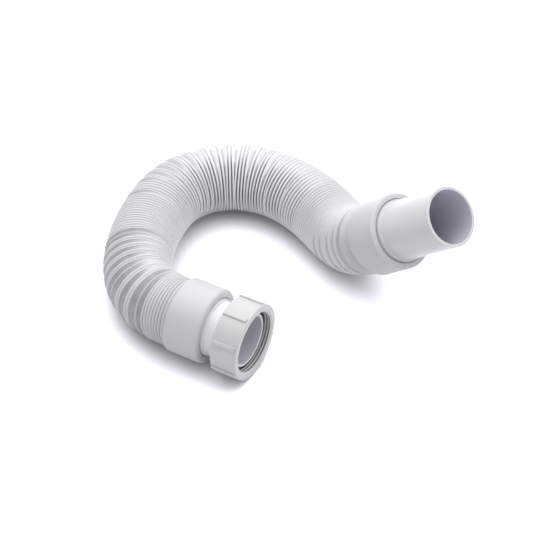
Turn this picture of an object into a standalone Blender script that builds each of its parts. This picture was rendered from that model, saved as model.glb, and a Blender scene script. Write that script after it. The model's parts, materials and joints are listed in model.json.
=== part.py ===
"""Drain hose: a white extendable bellows waste hose with a captive union nut and a plain spigot.

The hose is one blown tube. Its folds close to tight rings or stand open, it bends round an open
C on the floor, and it ends in a thick smooth cuff at each side. A flanged tailpiece is welded into
the first cuff and holds a ribbed union nut with a black sealing ring. A plain spigot is welded
into the second cuff, which stands clear of the floor.

Lengths are in millimetres here and are scaled to metres when a mesh is made. The union's axis is
+X, out of the nut's mouth, and +Z is up. The finished part stands with its origin on the floor,
under the middle of its box.
"""

import math

import bmesh
import bpy
import numpy as np
from mathutils import Matrix, Vector

MM = 0.001

# Clearance that touching pieces keep
FIT_GAP = 0.3

# Hose: radius over the folds, wall, and depth of a closed fold
CREST_R = 25.5
FOLD_WALL = 0.8
FOLD_CLOSED_DEPTH = 2.4

# Flat sides round the hose: each step outwards from the bore has twice as many
BORE_SIDES = 8
FOLD_SIDES = 2 * BORE_SIDES
CUFF_SIDES = 2 * FOLD_SIDES

# Union tailpiece: tube with a sealing nose, a flange that holds the nut, and a collar at the cuff
TAIL_BORE_R = 18.0
TAIL_NOSE_R = TAIL_BORE_R + 1.8
TAIL_NECK_R = TAIL_NOSE_R + 0.5
TAIL_COLLAR_R = TAIL_NECK_R + 1.0
TAIL_COLLAR_LENGTH = 2.6
TAIL_FLANGE_R = TAIL_NECK_R + 1.6
TAIL_FLANGE_THICKNESS = 2.4
TAIL_SET_BACK = 5.0
TAIL_NOSE_PROUD = 0.5
TAIL_NECK_SHOWN = 11.3
TAIL_EDGE = 0.5

# Union nut, for a G 1 1/2 pipe thread: the fine thread itself is left smooth here
NUT_THREAD_R = TAIL_FLANGE_R + 0.5
NUT_WALL = 5.9
NUT_R = NUT_THREAD_R + NUT_WALL
NUT_LENGTH = 20.5
NUT_LEAD_IN = 1.8
NUT_LEAD_IN_DEPTH = 1.1
NUT_LIP_THICKNESS = 3.2
NUT_EDGE = 0.9
NUT_RIB_COUNT = 8
NUT_RIB_HEIGHT = 1.1
NUT_RIB_ROOT = 1.5
NUT_RIB_WIDTH = 2.3
NUT_RIB_EDGE = 0.5
NUT_RIB_SHORTFALL = 1.2
NUT_RIB_TURN = 18.0

# Sealing ring round the nose, against the flange
SEAL_THICKNESS = 3.0

# Outlet spigot: 43 mm plain pipe end with a small collar at the cuff
SPIGOT_R = 21.5
SPIGOT_WALL = 2.4
SPIGOT_SHOWN = 53.4
SPIGOT_COLLAR_R = SPIGOT_R + 1.0
SPIGOT_COLLAR_LENGTH = 2.4
SPIGOT_EDGE = 0.5

# Cuffs: a recess for the wider of the two collars, a flat face round it and a rounded shoulder
CUFF_RECESS_DEPTH = 1.6
CUFF_RECESS_GAP = 0.9
CUFF_FACE = 0.5
CUFF_SHOULDER_R = 3.6
CUFF_R = (
    max(TAIL_COLLAR_R, SPIGOT_COLLAR_R) + CUFF_RECESS_GAP + CUFF_FACE + CUFF_SHOULDER_R)
CUFF_BACK_CHAMFER = 1.2

# How deep the tailpiece and the spigot sit in their cuffs, and what a cuff has past them
SEAT_DEPTH = 20.0
CUFF_LENGTH = SEAT_DEPTH + 7.6

# Flat sides round the turned pieces
TUBE_SIDES = 32
NUT_SIDES = 48

# Route of the hose's middle between the cuffs, seen from above: x and y from the union's mouth
ROUTE = (
    (-97.3, 10.5),
    (-121.7, 41.4),
    (-133.6, 79.5),
    (-133.3, 119.0),
    (-109.0, 149.8),
    (-70.8, 159.3),
    (-32.3, 149.3),
    (2.4, 130.3),
    (33.3, 117.6),
)
OUTLET_YAW = -10.3
ROUTE_SAMPLES = 600
TANGENT_STEP = 0.5

# Its height: it comes down from the union to the floor, then bends up towards the outlet
LANDING_LENGTH = 40.0
LIFT_LENGTH = 58.0
OUTLET_PITCH = 40.9

# Folds from the union's cuff to the outlet's cuff. Closed folds lie in groups, and an open valley
# parts one group from the next: how many such groups, folds in each, distance from fold to fold,
# distance over the valley, depth of the valley. Some valleys are pulled nearly flat.
FOLD_GROUPS = (
    (1, 8, 1.9, 4.6, 1.2),
    (1, 1, 0.0, 5.9, 0.9),
    (2, 2, 3.3, 5.2, 0.9),
    (1, 1, 0.0, 4.3, 1.1),
    (4, 2, 2.8, 4.4, 1.2),
    (1, 1, 0.0, 4.7, 1.4),
    (1, 16, 2.6, 3.2, 1.6),
    (1, 5, 2.8, 3.4, 2.0),
    (3, 2, 2.9, 4.7, 2.4),
    (1, 3, 2.8, 5.2, 2.6),
    (1, 2, 2.8, 4.5, 3.0),
    (1, 3, 2.7, 5.6, 3.4),
    (1, 2, 2.7, 4.8, 3.8),
    (1, 3, 2.6, 5.0, 4.2),
    (1, 4, 2.6, 5.55, 4.2),
    (1, 2, 2.6, 4.5, 4.2),
    (1, 3, 2.6, 5.1, 4.0),
    (1, 2, 2.6, 4.4, 3.4),
    (1, 6, 3.0, 3.8, 2.8),
    (1, 6, 3.0, 3.7, 2.4),
    (1, 7, 2.6, 3.0, 1.8),
    (1, 5, 2.5, 5.2, 1.2),
    (1, 2, 3.0, 5.0, 1.2),
    (1, 3, 2.8, 4.6, 1.2),
    (1, 2, 2.6, 4.6, 1.2),
    (1, 2, 2.2, 5.2, 1.0),
    (1, 6, 1.95, 1.95, 1.2),
)
FOLD_END_GAP = 1.6

COLOURS = {
    "hose": ((0.80, 0.80, 0.79), 0.42),
    "union_tailpiece": ((0.83, 0.83, 0.82), 0.38),
    "union_nut": ((0.82, 0.82, 0.81), 0.40),
    "seal_ring": ((0.02, 0.02, 0.02), 0.75),
    "outlet_spigot": ((0.78, 0.78, 0.78), 0.36),
}


def plastic(name):
    """Principled material in the piece's colour."""
    colour, roughness = COLOURS[name]
    material = bpy.data.materials.new(name)
    material.use_nodes = True
    shader = material.node_tree.nodes["Principled BSDF"]
    shader.inputs["Base Color"].default_value = (*colour, 1.0)
    shader.inputs["Roughness"].default_value = roughness
    shader.inputs["Metallic"].default_value = 0.0
    return material


def finish(name, bm, parent, matrix=None):
    """Turn a bmesh in millimetres into a smooth-shaded object in metres."""
    bmesh.ops.remove_doubles(bm, verts=bm.verts, dist=1e-4)
    bmesh.ops.recalc_face_normals(bm, faces=bm.faces)
    mesh = bpy.data.meshes.new(name)
    bm.to_mesh(mesh)
    bm.free()
    mesh.transform(Matrix.Scale(MM, 4))
    mesh.shade_smooth()
    mesh.set_sharp_from_angle(angle=math.radians(35.0))
    mesh.materials.append(plastic(name))
    piece = bpy.data.objects.new(name, mesh)
    bpy.context.scene.collection.objects.link(piece)
    piece.parent = parent
    if matrix is not None:
        piece.matrix_local = matrix
    return piece


def turned(profile, segments):
    """Spin a closed profile of (along, radius) points about the X axis."""
    bm = bmesh.new()
    verts = [bm.verts.new((x, 0.0, r)) for x, r in profile]
    edges = [bm.edges.new((verts[i], verts[(i + 1) % len(verts)])) for i in range(len(verts))]
    bmesh.ops.spin(
        bm, geom=verts + edges, cent=(0.0, 0.0, 0.0), axis=(1.0, 0.0, 0.0), dvec=(0.0, 0.0, 0.0),
        angle=math.tau, steps=segments, use_merge=True, use_duplicate=False)
    return bm


def axis_frame(direction):
    """Right-handed frame whose X runs along a direction and whose Y stays level."""
    along = Vector(direction).normalized()
    level = Vector((0.0, 0.0, 1.0)).cross(along).normalized()
    up = along.cross(level)
    return Matrix((along, level, up)).transposed().to_4x4()


def union_height():
    """Height of the union's axis when the nut's barrel rests on the floor."""
    return NUT_R


def union_point(x):
    """Point on the union's axis, x from the nut's mouth."""
    return np.array((x, 0.0, union_height()))


def cuff_mouth_x():
    """Where the first cuff's mouth stands behind the nut's back."""
    return -NUT_LENGTH - TAIL_NECK_SHOWN


def outlet_direction():
    yaw = math.radians(OUTLET_YAW)
    pitch = math.radians(OUTLET_PITCH)
    return np.array((math.cos(pitch) * math.cos(yaw), math.cos(pitch) * math.sin(yaw), math.sin(pitch)))


def smooth_route(points, start_direction, end_direction):
    """Cubic spline through plan points, parametrised by chord length, with both end directions.

    The slopes m at the points solve the usual equations that make the second derivative
    continuous: m0 / h0 + 2 m1 (1 / h0 + 1 / h1) + m2 / h1 = 3 (d0 / h0 + d1 / h1), where h is a
    chord's length and d its direction.
    """
    points = np.asarray(points, float)
    count = len(points)
    chord = np.linalg.norm(np.diff(points, axis=0), axis=1)
    secant = np.diff(points, axis=0) / chord[:, None]
    matrix = np.zeros((count, count))
    right = np.zeros(points.shape)
    matrix[0, 0] = matrix[-1, -1] = 1.0
    right[0] = start_direction
    right[-1] = end_direction
    for i in range(1, count - 1):
        matrix[i, i - 1] = 1.0 / chord[i - 1]
        matrix[i, i] = 2.0 / chord[i - 1] + 2.0 / chord[i]
        matrix[i, i + 1] = 1.0 / chord[i]
        right[i] = 3.0 * (secant[i - 1] / chord[i - 1] + secant[i] / chord[i])
    slope = np.linalg.solve(matrix, right)
    start = np.r_[0.0, np.cumsum(chord)]
    wanted = np.linspace(0.0, start[-1], ROUTE_SAMPLES)
    k = np.clip(np.searchsorted(start, wanted, side="right") - 1, 0, count - 2)
    u = ((wanted - start[k]) / chord[k])[:, None]
    h = chord[k][:, None]
    return (points[k] * (1 + 2 * u) * (1 - u) ** 2 + slope[k] * h * u * (1 - u) ** 2
            + points[k + 1] * u ** 2 * (3 - 2 * u) + slope[k + 1] * h * u ** 2 * (u - 1))


def distances(line):
    """Distance along a line of points, at each point."""
    return np.r_[0.0, np.cumsum(np.linalg.norm(np.diff(line, axis=0), axis=1))]


def route_height(ground):
    """Height of the middle line over each distance along the ground.

    It sinks from the union's height to a fold's radius in a smooth step and lies on the floor.
    Over LIFT_LENGTH its slope then grows in a smooth step, 3 u^2 - 2 u^3, to the outlet's slope,
    so the height is that slope times LIFT_LENGTH times u^3 - u^4 / 2.
    """
    sink = np.clip(ground / LANDING_LENGTH, 0.0, 1.0)
    lift = np.clip((ground - ground[-1]) / LIFT_LENGTH + 1.0, 0.0, 1.0)
    slope = math.tan(math.radians(OUTLET_PITCH))
    return (union_height() + (CREST_R - union_height()) * sink ** 2 * (3 - 2 * sink)
            + slope * LIFT_LENGTH * (lift ** 3 - lift ** 4 / 2))


class HoseLine:
    """The hose's middle line by distance, with its straight cuffs before and after the folds."""

    def __init__(self):
        yaw = math.radians(OUTLET_YAW)
        first = (cuff_mouth_x() - CUFF_LENGTH, 0.0)
        plan = smooth_route([first, *ROUTE], (-1.0, 0.0), (math.cos(yaw), math.sin(yaw)))
        self.line = np.column_stack((plan, route_height(distances(plan))))
        self.distance = distances(self.line)
        self.length = self.distance[-1]
        self.start_direction = np.array((-1.0, 0.0, 0.0))
        self.end_direction = outlet_direction()

    def at(self, s):
        """Centre and tangent at a distance from the first fold; outside the folds it is straight."""
        if s <= 0.0:
            return self.line[0] + self.start_direction * s, self.start_direction
        if s >= self.length:
            return self.line[-1] + self.end_direction * (s - self.length), self.end_direction
        ahead = min(s + TANGENT_STEP, self.length)
        behind = max(s - TANGENT_STEP, 0.0)
        centre, after, before = (
            np.array([np.interp(v, self.distance, self.line[:, axis]) for axis in range(3)])
            for v in (s, ahead, behind))
        tangent = after - before
        return centre, tangent / np.linalg.norm(tangent)

    def ring(self, s, radius, sides):
        """Corner points of a ring square to the line, with a corner straight down."""
        centre, tangent = self.at(s)
        across = np.cross(tangent, (0.0, 0.0, 1.0))
        across /= np.linalg.norm(across)
        upward = np.cross(across, tangent)
        turn = np.arange(sides) * math.tau / sides
        return centre + radius * (np.cos(turn)[:, None] * upward + np.sin(turn)[:, None] * across)


def fold_places(length):
    """Distances of the crests and of the roots between them, and the radius of each root.

    The steps between the crests are stretched together to fill the length.
    """
    steps = [FOLD_END_GAP]
    depths = [FOLD_CLOSED_DEPTH]
    for groups, folds, pitch, valley, depth in FOLD_GROUPS:
        for _ in range(round(groups)):
            steps += [pitch] * round(folds - 1) + [valley]
            depths += [FOLD_CLOSED_DEPTH] * round(folds - 1) + [depth]
    steps[-1] = FOLD_END_GAP
    depths[-1] = FOLD_CLOSED_DEPTH
    crests = (np.cumsum(steps) * length / np.sum(steps))[:-1]
    roots = np.r_[0.0, (crests[:-1] + crests[1:]) / 2, length]
    return crests, roots, CREST_R - np.array(depths)


def around(radius, sides):
    """Corner radius of a flat-sided hole that still clears a circle of this radius."""
    return radius / math.cos(math.pi / sides)


def cuff_outside(collar_r):
    """Outside of a cuff from its mouth inwards: (depth from the mouth, radius)."""
    recess_r = around(collar_r + CUFF_RECESS_GAP, CUFF_SIDES)
    corner = [
        (CUFF_SHOULDER_R * (1 - math.cos(a)), CUFF_R - CUFF_SHOULDER_R * (1 - math.sin(a)))
        for a in np.radians((0.0, 30.0, 60.0, 90.0))]
    return [(0.0, recess_r)] + corner + [(CUFF_LENGTH - CUFF_BACK_CHAMFER, CUFF_R)]


def cuff_inside(collar_r, shank_r):
    """Inside of a cuff past its mouth's edge: recess for the collar, then the welding bore."""
    recess_r = around(collar_r + CUFF_RECESS_GAP, CUFF_SIDES)
    bore_r = around(shank_r + FIT_GAP, CUFF_SIDES)
    return [
        (CUFF_RECESS_DEPTH, recess_r),
        (CUFF_RECESS_DEPTH, bore_r),
        (SEAT_DEPTH + FIT_GAP, bore_r),
    ]


def make_hose(parent):
    """Blown bellows hose with its two cuffs: an outer skin, an inner skin and two ringed mouths."""
    line = HoseLine()
    crests, roots, root_r = fold_places(line.length)
    first_mouth = -CUFF_LENGTH
    last_mouth = line.length + CUFF_LENGTH

    def folds(wall, sides):
        """Rings of the folded stretch, a wall's thickness in from the outside."""
        rings = [(roots[0], root_r[0] - wall, sides)]
        for crest, root, radius in zip(crests, roots[1:], root_r[1:]):
            rings += [(crest, CREST_R - wall, sides), (root, radius - wall, sides)]
        return rings

    outside = [(first_mouth + depth, r, CUFF_SIDES) for depth, r in cuff_outside(TAIL_COLLAR_R)]
    outside += folds(0.0, FOLD_SIDES)
    outside += [
        (last_mouth - depth, r, CUFF_SIDES) for depth, r in reversed(cuff_outside(SPIGOT_COLLAR_R))]
    inside = [
        (first_mouth + depth, r, CUFF_SIDES)
        for depth, r in cuff_inside(TAIL_COLLAR_R, TAIL_NECK_R)]
    inside += [(0.0, root_r[0] - FOLD_WALL, FOLD_SIDES)] + folds(FOLD_WALL, BORE_SIDES)[1:-1]
    inside += [(line.length, root_r[-1] - FOLD_WALL, FOLD_SIDES)]
    inside += [
        (last_mouth - depth, r, CUFF_SIDES)
        for depth, r in reversed(cuff_inside(SPIGOT_COLLAR_R, SPIGOT_R))]

    bm = bmesh.new()
    loops = [
        [bm.verts.new(point) for point in line.ring(s, radius, sides)]
        for s, radius, sides in outside + inside[::-1]]
    for before, after in zip(loops, loops[1:] + loops[:1]):
        close_strip(bm, before, after)
    return finish("hose", bm, parent)


def close_strip(bm, before, after):
    """Faces between two loops, of which one may have twice the corners of the other."""
    if len(before) == len(after):
        for i in range(len(before)):
            j = (i + 1) % len(before)
            bm.faces.new((before[i], before[j], after[j], after[i]))
        return
    fine, coarse = (before, after) if len(before) > len(after) else (after, before)
    for i, corner in enumerate(coarse):
        following = coarse[(i + 1) % len(coarse)]
        middle = fine[2 * i + 1]
        bm.faces.new((corner, fine[2 * i], middle))
        bm.faces.new((corner, middle, following))
        bm.faces.new((following, middle, fine[(2 * i + 2) % len(fine)]))


def make_tailpiece(parent, place):
    """Flanged tube: nose, flange that holds the nut, neck, collar and the shank in the cuff."""
    front = -TAIL_SET_BACK
    flange_front = seal_front() - SEAL_THICKNESS - FIT_GAP
    flange_back = flange_front - TAIL_FLANGE_THICKNESS
    mouth = cuff_mouth_x()
    collar_back = mouth - CUFF_RECESS_DEPTH + FIT_GAP
    collar_front = collar_back + TAIL_COLLAR_LENGTH
    back = mouth - SEAT_DEPTH
    profile = [
        (front, TAIL_BORE_R),
        (back, TAIL_BORE_R),
        (back, TAIL_NECK_R),
        (collar_back, TAIL_NECK_R),
        (collar_back, TAIL_COLLAR_R),
        (collar_front - TAIL_EDGE, TAIL_COLLAR_R),
        (collar_front, TAIL_COLLAR_R - TAIL_EDGE),
        (collar_front, TAIL_NECK_R),
        (flange_back, TAIL_NECK_R),
        (flange_back, TAIL_FLANGE_R),
        (flange_front, TAIL_FLANGE_R),
        (flange_front, TAIL_NOSE_R),
        (front - TAIL_EDGE, TAIL_NOSE_R),
        (front, TAIL_NOSE_R - TAIL_EDGE),
    ]
    return finish("union_tailpiece", turned(profile, TUBE_SIDES), parent, place)


def seal_front():
    """Where the seal's front stands behind the nut's mouth, just short of the nose's front."""
    return -TAIL_SET_BACK - TAIL_NOSE_PROUD


def make_seal(parent, place):
    """Flat rubber ring round the nose, against the flange."""
    front = seal_front()
    back = front - SEAL_THICKNESS
    inner = TAIL_NOSE_R + FIT_GAP
    outer = NUT_THREAD_R - FIT_GAP
    profile = [(front, inner), (back, inner), (back, outer), (front, outer)]
    return finish("seal_ring", turned(profile, TUBE_SIDES), parent, place)


def make_nut(parent, place):
    """Union nut: barrel with a turned-in back lip, a lead-in at its mouth and ribs for the hand."""
    profile = [
        (0.0, NUT_THREAD_R + NUT_LEAD_IN),
        (-NUT_LEAD_IN_DEPTH, NUT_THREAD_R),
        (-NUT_LENGTH + NUT_LIP_THICKNESS, NUT_THREAD_R),
        (-NUT_LENGTH + NUT_LIP_THICKNESS, TAIL_NECK_R + FIT_GAP),
        (-NUT_LENGTH, TAIL_NECK_R + FIT_GAP),
        (-NUT_LENGTH, NUT_R - NUT_EDGE),
        (-NUT_LENGTH + NUT_EDGE, NUT_R),
        (-NUT_EDGE, NUT_R),
        (0.0, NUT_R - NUT_EDGE),
    ]
    nut = finish("union_nut", turned(profile, NUT_SIDES), parent, place)
    ribs = bmesh.new()
    root = NUT_R - NUT_RIB_ROOT
    top = NUT_R + NUT_RIB_HEIGHT
    half = NUT_RIB_WIDTH / 2
    back = -NUT_LENGTH + NUT_EDGE
    front = -NUT_RIB_SHORTFALL
    for index in range(NUT_RIB_COUNT):
        turn = Matrix.Rotation(
            math.radians(NUT_RIB_TURN + index * 360.0 / NUT_RIB_COUNT), 4, (1.0, 0.0, 0.0))
        section = (
            (-half, root), (half, root), (half, top - NUT_RIB_EDGE), (half - NUT_RIB_EDGE, top),
            (-half + NUT_RIB_EDGE, top), (-half, top - NUT_RIB_EDGE))
        ends = [[ribs.verts.new(turn @ Vector((x, y, z))) for y, z in section] for x in (back, front)]
        ribs.faces.new(ends[0])
        ribs.faces.new(ends[1][::-1])
        for i in range(len(section)):
            j = (i + 1) % len(section)
            ribs.faces.new((ends[0][i], ends[1][i], ends[1][j], ends[0][j]))
    joined = nut.modifiers.new("Ribs", "BOOLEAN")
    joined.operation = "UNION"
    joined.object = finish_helper("nut_ribs", ribs, parent, place)
    return nut


def finish_helper(name, bm, parent, matrix):
    """A guide object that a modifier uses and that isn't a piece of the hose."""
    bmesh.ops.recalc_face_normals(bm, faces=bm.faces)
    mesh = bpy.data.meshes.new(name)
    bm.to_mesh(mesh)
    bm.free()
    mesh.transform(Matrix.Scale(MM, 4))
    helper = bpy.data.objects.new(name, mesh)
    bpy.context.scene.collection.objects.link(helper)
    helper.parent = parent
    helper.matrix_local = matrix
    helper.hide_render = True
    helper.display_type = "WIRE"
    return helper


def make_spigot(parent, place):
    """Plain pipe end: its local X runs out of the cuff, from the cuff's mouth."""
    collar_back = -CUFF_RECESS_DEPTH + FIT_GAP
    collar_front = collar_back + SPIGOT_COLLAR_LENGTH
    bore_r = SPIGOT_R - SPIGOT_WALL
    profile = [
        (SPIGOT_SHOWN, bore_r),
        (-SEAT_DEPTH, bore_r),
        (-SEAT_DEPTH, SPIGOT_R),
        (collar_back, SPIGOT_R),
        (collar_back, SPIGOT_COLLAR_R),
        (collar_front - SPIGOT_EDGE, SPIGOT_COLLAR_R),
        (collar_front, SPIGOT_COLLAR_R - SPIGOT_EDGE),
        (collar_front, SPIGOT_R),
        (SPIGOT_SHOWN - SPIGOT_EDGE, SPIGOT_R),
        (SPIGOT_SHOWN, SPIGOT_R - SPIGOT_EDGE),
    ]
    return finish("outlet_spigot", turned(profile, TUBE_SIDES), parent, place)


def stand_on_floor(stand, pieces):
    """Move the parent so that the origin lies on the floor under the middle of the box."""
    bpy.context.view_layer.update()
    corners = np.array([piece.matrix_world @ vert.co for piece in pieces for vert in piece.data.vertices])
    low = corners.min(axis=0)
    high = corners.max(axis=0)
    stand.location = (-(low[0] + high[0]) / 2, -(low[1] + high[1]) / 2, -low[2])


def main():
    for old in list(bpy.data.objects):
        bpy.data.objects.remove(old)
    stand = bpy.data.objects.new("hose_stand", None)
    bpy.context.scene.collection.objects.link(stand)
    union_place = Matrix.Translation(Vector(union_point(0.0)) * MM)
    line = HoseLine()
    outlet_centre, outlet_axis = line.at(line.length + CUFF_LENGTH)
    outlet_place = Matrix.Translation(Vector(outlet_centre) * MM) @ axis_frame(outlet_axis)
    pieces = [
        make_hose(stand),
        make_tailpiece(stand, union_place),
        make_nut(stand, union_place),
        make_seal(stand, union_place),
        make_spigot(stand, outlet_place),
    ]
    stand_on_floor(stand, pieces)
    bpy.context.view_layer.update()


main()
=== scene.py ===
"""Drain hose: the bellows hose, its union and its outlet spigot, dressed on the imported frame.

Sizes are in millimetres inside the functions and become metres when a mesh is made. The union's
axis is +X, out of the nut's mouth, and +Z is up.
"""

import json
import math

import bpy
import numpy as np
from bpy.props import FloatProperty, FloatVectorProperty, IntProperty, PointerProperty
from mathutils import Matrix, Vector


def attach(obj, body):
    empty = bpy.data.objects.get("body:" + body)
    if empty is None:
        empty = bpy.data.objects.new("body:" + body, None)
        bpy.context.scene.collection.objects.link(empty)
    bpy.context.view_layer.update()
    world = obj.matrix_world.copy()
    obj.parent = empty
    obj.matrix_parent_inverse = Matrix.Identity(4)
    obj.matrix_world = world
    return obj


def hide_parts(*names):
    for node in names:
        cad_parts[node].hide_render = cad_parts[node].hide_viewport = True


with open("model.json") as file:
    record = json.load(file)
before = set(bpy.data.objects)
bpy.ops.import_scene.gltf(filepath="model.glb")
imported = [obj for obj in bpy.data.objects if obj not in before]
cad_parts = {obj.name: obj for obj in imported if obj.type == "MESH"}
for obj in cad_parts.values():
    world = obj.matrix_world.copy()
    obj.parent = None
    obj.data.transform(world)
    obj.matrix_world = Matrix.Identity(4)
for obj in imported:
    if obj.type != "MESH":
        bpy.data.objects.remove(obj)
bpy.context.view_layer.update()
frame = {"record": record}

bl_info = {
    "name": "Drain hose",
    "version": (1, 0, 0),
    "blender": (4, 5, 0),
    "location": "3D View > Sidebar > Drain hose",
    "description": "Makes an extendable bellows waste hose with a union nut and a plain spigot",
    "category": "Mesh",
}

MM = 0.001

# Where the union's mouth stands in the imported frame
JOINT = frame["record"]["behaviour"]["joints"][0]
MOUTH = np.array(JOINT["pos_m"]) / MM

# Gap between pieces that fit together, and how deep the tailpiece and spigot sit in their cuffs
FIT_GAP = 0.3
SEAT_DEPTH = 20.0

# Route of the hose's middle between the cuffs, seen from above: x and y from the union's mouth
ROUTE = (
    (-97.3, 10.5),
    (-121.7, 41.4),
    (-133.6, 79.5),
    (-133.3, 119.0),
    (-109.0, 149.8),
    (-70.8, 159.3),
    (-32.3, 149.3),
    (2.4, 130.3),
    (33.3, 117.6),
)

# Direction of the outlet, in degrees, and the lengths over which the hose comes down from the
# union and goes up to the outlet
OUTLET_YAW = -10.3
OUTLET_PITCH = 40.9
LANDING_LENGTH = 40.0
LIFT_LENGTH = 58.0
ROUTE_SAMPLES = 600

# Groups of closed folds: how many groups, folds in each, distance from fold to fold, distance
# over the open valley that follows, and that valley's depth: some are pulled nearly flat
FOLD_GROUPS = (
    (1, 8, 1.9, 4.6, 1.2),
    (1, 1, 0.0, 5.9, 0.9),
    (2, 2, 3.3, 5.2, 0.9),
    (1, 1, 0.0, 4.3, 1.1),
    (4, 2, 2.8, 4.4, 1.2),
    (1, 1, 0.0, 4.7, 1.4),
    (1, 16, 2.6, 3.9, 1.6),
    (1, 5, 2.8, 3.4, 2.0),
    (3, 2, 2.9, 4.7, 2.4),
    (1, 3, 2.8, 5.2, 2.6),
    (1, 2, 2.8, 4.5, 3.0),
    (1, 3, 2.7, 5.6, 3.4),
    (1, 2, 2.7, 4.8, 3.8),
    (1, 3, 2.6, 5.0, 4.2),
    (1, 4, 2.6, 5.55, 4.2),
    (1, 2, 2.6, 4.5, 4.2),
    (1, 3, 2.6, 5.1, 4.0),
    (1, 2, 2.6, 4.4, 3.4),
    (1, 6, 3.0, 3.8, 2.8),
    (1, 6, 3.0, 3.7, 2.4),
    (1, 7, 2.6, 3.0, 1.8),
    (1, 5, 2.5, 5.2, 1.2),
    (1, 2, 3.0, 5.0, 1.2),
    (1, 3, 2.8, 4.6, 1.2),
    (1, 2, 2.6, 4.6, 1.2),
    (1, 2, 2.2, 5.2, 1.0),
    (1, 6, 1.95, 1.95, 1.2),
)

# Distance from each end of the folds to its nearest crest, before all spacings are stretched
FOLD_END_GAP = 1.6

# How far a group's folds fan out in a bend: fully in a group of more than LONG_GROUP folds, less
# in a short one, and least where its valley is deeper than DEEP_VALLEY
LONG_GROUP = 6
DEEP_VALLEY = 2
FLAT_FANNING = 0.5
DEEP_FANNING = 0.25

# Rings on each side of a crest: distance from it, or share of the way to the root if that is less
RING_STEPS = np.array((0.16, 0.42, 0.80, 1.40))
RING_SHARES = np.array((0.16, 0.42, 0.68, 0.88))

# Form of the folds: wall, how far the crests stay inside the crest radius and how uneven they are,
# the width of a crest's lip, the power of a V valley, what share of its gap a closed valley falls
# and how that is limited, and the least depth that the bore follows
FOLD = {
    "wall": 0.8, "inset": 0.12, "uneven": 0.07, "uneven_limit": 0.12, "lip": 0.55, "slant": 1.3,
    "closed_share": 0.85, "closed_rise": 0.6, "closed_limit": 1.0, "bore_depth": 1.2}
UNEVEN_SEED = 7

# Smooth steps of the folds' form, each as start and width: the gap over which an open valley
# opens, and the depths over which it becomes a V and folds become tight, deep ones
OPENS = (2.9, 1.3)
SLANTS = (1.8, 1.0)
TIGHTENS = (1.6, 1.4)

# Painted shade of the folds' four marks, and how much less of it the flat floors of the raised end
# get
PAINTED_SHADE = {"flat": 1.1, "shallow": 0.36, "notch": 0.9, "groove": 1.5, "raised": 0.35}
RAISED_FROM = 0.72
RAISED_STEP = 30.0

# Smooth steps of the painted shade, each as start and width: over the gap, over the share of
# the way to the root, over the inner side of the bend and over the height round the hose
PAINTED_SHADE_STEPS = {
    "flat_gap": (3.3, 1.8), "closed_share": (0.3, 0.5), "shallow_gap": (1.9, 0.9),
    "notch_share": (0.7, 0.25), "notch_inner": (-0.3, 0.6), "groove_gap": (0.9, 0.9),
    "groove_inner": (-0.1, 0.7), "above_floor": (-0.42, 0.5)}

# Painted light of the thin wall: its least share, what a deep fold and the low inner side add,
# and its fade to a cuff
PAINTED_GLOW = {"least": 0.35, "deep": 0.6, "glow": 0.7, "fade": 25.0}
PAINTED_GLOW_STEPS = {"deep_inner": (-0.5, 0.8), "glow_low": (-0.7, 1.0), "glow_inner": (0.0, 0.5)}

# Cuffs, tailpiece, nut, seal and spigot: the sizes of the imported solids, and the finer edges,
# knurls and slopes of the ribs. No two points of a profile are further apart than its spacing
CUFF = {
    "length": 27.6, "shoulder": 3.6, "back": 1.4, "back_step": 2.2, "back_lean": 0.3,
    "fold_gap": 0.2, "recess": 1.6, "gap": 0.9, "mouth_edge": 0.35, "inner_edge": 0.2,
    "seat_ease": 0.1}
TAIL = {
    "bore": 18.0, "nose": 19.8, "neck": 20.3, "collar": 21.3, "collar_length": 2.6,
    "flange": 21.9, "flange_thickness": 2.4, "set_back": 5.0, "proud": 0.5, "shown": 11.3,
    "knurls": 40, "knurl_front": 1.6, "knurl_length": 1.5, "knurl_height": 0.25,
    "knurl_edge": 0.2, "spacing": 6.0}
NUT = {
    "length": 20.5, "thread": 22.4, "mouth": 24.2, "mouth_depth": 1.1, "lip": 3.2, "edge": 0.9,
    "mouth_edge": 1.1, "ribs": 8, "rib_turn": 18.0, "rib_short": 1.2, "rib_width": 3.2,
    "rib_height": 1.1, "rib_edge": 0.45, "rib_back": 0.3, "rib_back_slope": 0.8,
    "rib_front_slope": 0.9, "spacing": 0.24}
SEAL_THICKNESS = 3.0
SEAL_CORNERS = 128
SPIGOT = {
    "radius": 21.5, "wall": 2.4, "shown": 53.4, "collar": 22.5, "collar_length": 3.7,
    "spacing": 8.0, "corners": 160}
CORD_MARKS = 160

# Internal thread: pitch, depth, height and slope of the wave whose top is cut off at 1, where it
# starts from the lip, and how it fades out at both ends
THREAD = {
    "pitch": 2.309, "depth": 1.3, "top": 1.25, "slope": 4.2, "start": 1.0, "fade_in": 1.5,
    "fade_out": 0.6}

# Angles beside the middle of a rib, in radians, and how many lie between two ribs
RIB_ANGLES = np.array((0.020, 0.036, 0.043, 0.048, 0.053, 0.058, 0.075))
ANGLES_BETWEEN_RIBS = 16

# Profiles: support point beside a rounding, and how much of a side a rounding may take
SUPPORT = 0.12
SIDE_SHARE = 0.45

POLYPROPYLENE_IOR = 1.49
# Painted shade: lilac grey in the bores, and dark in the nut's thread grooves and on its ribs'
# walls
BORE_SHADE_COLOUR = (0.69, 0.675, 0.75)
GROOVE_SHADE_COLOUR = (0.16, 0.155, 0.17)

# Camera, in millimetres: its place, what it looks at, its lens, sensor and nearest distance
CAMERA_AT = (557.4, -986.9, 1039.9)
CAMERA_AIM = (-17.2, 19.2, 0.6)
CAMERA_LENS = 140.41
SENSOR_WIDTH = 36.0
NEAREST_SEEN = 50.0

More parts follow.
